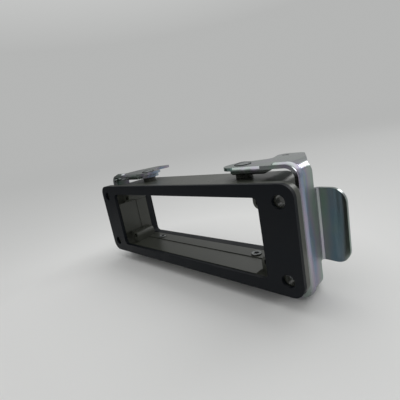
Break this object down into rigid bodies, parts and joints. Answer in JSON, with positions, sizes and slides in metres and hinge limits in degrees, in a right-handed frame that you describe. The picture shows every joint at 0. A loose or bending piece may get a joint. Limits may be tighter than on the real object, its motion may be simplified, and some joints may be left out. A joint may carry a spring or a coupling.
{
  "type": "panel-mount connector housing with locking levers",
  "caption": "Rectangular panel-mount housing of a heavy-duty connector: flanged die-cast frame with gaskets, insert posts and hinged locking levers at both ends.",
  "frame": {"origin": "centre of the four panel holes, on the flange's gasket seat", "axes": "+X along the housing, +Y from the panel to the mating side, +Z across the housing"},
  "size_m": [0.162, 0.0427, 0.0584],
  "materials": {
    "casting": "die casting with a black powder coat",
    "rubber": "smooth matt black rubber",
    "zinc_sheet": "zinc plated and passivated sheet",
    "rivet_steel": "zinc plated"
  },
  "bodies": {
    "base": {"housing": "casting", "flange_gasket": "rubber", "rim_seal": "rubber", "pivot_rivet_left_upper": "rivet_steel", "pivot_rivet_left_lower": "rivet_steel", "pivot_rivet_right_upper": "rivet_steel", "pivot_rivet_right_lower": "rivet_steel"},
    "left_lever": {"lever_left": "zinc_sheet"},
    "right_lever": {"lever_right": "zinc_sheet"}
  },
  "joints": [
    {"name": "right_lever_swing", "type": "hinge", "parent": "base", "child": "right_lever", "pos_m": [0.038, 0.0162, 0], "axis": [0, 0, 1], "range_deg": [-5, 90]},
    {"name": "left_lever_swing", "type": "hinge", "parent": "base", "child": "left_lever", "pos_m": [-0.038, 0.0162, 0], "axis": [0, 0, -1], "range_deg": [-5, 90]}
  ]
}
